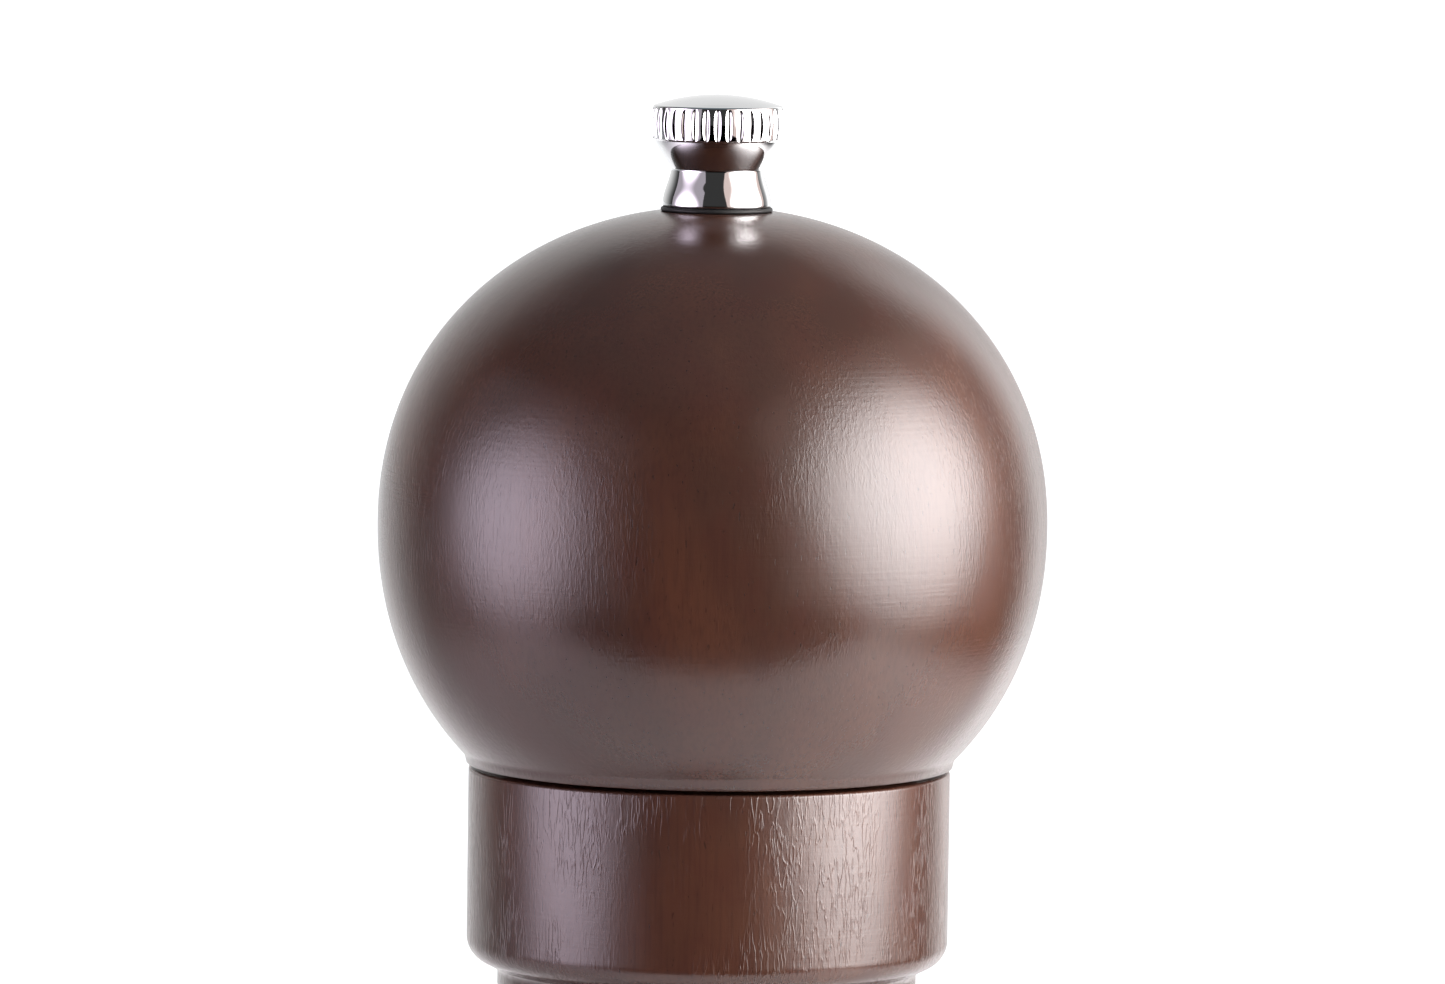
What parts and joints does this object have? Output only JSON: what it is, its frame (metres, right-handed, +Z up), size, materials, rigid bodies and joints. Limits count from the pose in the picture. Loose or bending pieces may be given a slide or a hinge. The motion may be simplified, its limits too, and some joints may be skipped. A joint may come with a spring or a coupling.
{
  "type": "pepper mill",
  "caption": "Turned wooden pepper mill: flared body, ball head that turns to grind, fluted chrome knob on top that sets the grind, steel burrs in the foot.",
  "frame": {"origin": "centre of the foot, on the surface that the mill stands on", "axes": "+Z up along the axis of the mill; +X along the retaining bar under the burrs"},
  "size_m": [0.058, 0.058, 0.2184],
  "materials": {
    "stained_wood": "dark red-brown stained beech under satin lacquer",
    "chrome": "polished chrome plate",
    "black_fibre": "matt",
    "zinc_steel": "bright zinc plate",
    "burr_steel": "hardened, dark and satin",
    "spring_steel": "drawn wire"
  },
  "bodies": {
    "base": {"body": "stained_wood", "stator": "burr_steel", "bridge": "zinc_steel", "retaining_bar": "zinc_steel", "retaining_screws": "zinc_steel"},
    "seat": {"spring_seat": "zinc_steel", "spring": "spring_steel"},
    "spindle": {"shaft": "zinc_steel", "rotor": "burr_steel", "rotor_washer": "zinc_steel", "shaft_clip": "spring_steel"},
    "top": {"head": "stained_wood", "drive_plate": "zinc_steel", "drive_plate_screws": "zinc_steel"},
    "washer": {"knob_washer": "black_fibre"},
    "knob": {"adjusting_knob": "chrome"}
  },
  "joints": [
    {"name": "grind_turn", "type": "hinge", "parent": "base", "child": "seat", "pos_m": [0, 0, 0], "axis": [0, 0, 1], "continuous": true},
    {"name": "grind_adjust", "type": "slide", "parent": "seat", "child": "spindle", "axis": [0, 0, 1], "range_m": [0, 0.0014], "deforming": ["spring"]},
    {"name": "head_lift", "type": "slide", "parent": "seat", "child": "top", "axis": [0, 0, 1], "range_m": [0, 0.075]},
    {"name": "knob_lift", "type": "slide", "parent": "top", "child": "washer", "axis": [0, 0, 1], "range_m": [0, 0.02]},
    {"name": "knob_turn", "type": "hinge", "parent": "washer", "child": "knob", "pos_m": [0, 0, 0], "axis": [0, 0, 1], "range_deg": [-630, 0]}
  ],
  "couplings": [
    {"joint": "knob_turn", "follows": "grind_adjust", "rad_per_m": -7854}
  ]
}
